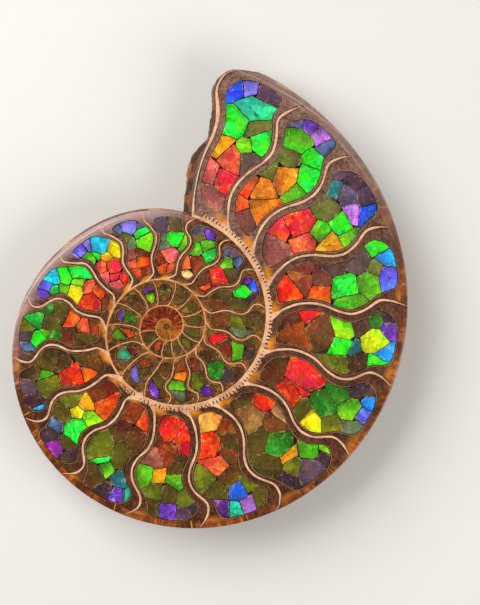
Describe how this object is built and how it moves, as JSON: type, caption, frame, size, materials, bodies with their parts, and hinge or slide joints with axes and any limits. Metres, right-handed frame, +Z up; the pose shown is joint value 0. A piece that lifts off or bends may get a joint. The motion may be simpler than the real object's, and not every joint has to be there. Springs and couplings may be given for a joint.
{
  "type": "cleoniceras ammonite",
  "caption": "Cleoniceras ammonite half, sawn and polished flat, with a mosaic of iridescent chips set in its chambers. It lies on its domed back.",
  "frame": {"origin": "under the middle of the bounding box, in the plane the domed back rests on", "axes": "+Z up and normal to the polished face; +Y towards the mouth's tip, the upright direction of the picture; +X to the picture's right"},
  "size_m": [0.1324, 0.1536, 0.019],
  "materials": {
    "fossil": "polished",
    "inlay": "glossy iridescent"
  },
  "bodies": {
    "root": {"fossil_half": "fossil", "chamber_inlay_01": "inlay", "chamber_inlay_02": "inlay", "chamber_inlay_03": "inlay", "chamber_inlay_04": "inlay", "chamber_inlay_05": "inlay", "chamber_inlay_06": "inlay", "chamber_inlay_07": "inlay", "chamber_inlay_08": "inlay", "chamber_inlay_09": "inlay", "chamber_inlay_10": "inlay", "chamber_inlay_11": "inlay", "chamber_inlay_12": "inlay", "chamber_inlay_13": "inlay", "chamber_inlay_14": "inlay", "chamber_inlay_15": "inlay", "chamber_inlay_16": "inlay", "chamber_inlay_17": "inlay", "chamber_inlay_18": "inlay", "chamber_inlay_19": "inlay", "chamber_inlay_20": "inlay", "chamber_inlay_21": "inlay", "chamber_inlay_22": "inlay", "chamber_inlay_23": "inlay", "chamber_inlay_24": "inlay", "chamber_inlay_25": "inlay", "chamber_inlay_26": "inlay", "chamber_inlay_27": "inlay", "chamber_inlay_28": "inlay", "chamber_inlay_29": "inlay", "chamber_inlay_30": "inlay", "chamber_inlay_31": "inlay", "chamber_inlay_32": "inlay", "chamber_inlay_33": "inlay", "chamber_inlay_34": "inlay", "chamber_inlay_35": "inlay", "chamber_inlay_36": "inlay", "chamber_inlay_37": "inlay", "chamber_inlay_38": "inlay", "chamber_inlay_39": "inlay", "chamber_inlay_40": "inlay", "chamber_inlay_41": "inlay", "chamber_inlay_42": "inlay"}
  },
  "joints": []
}
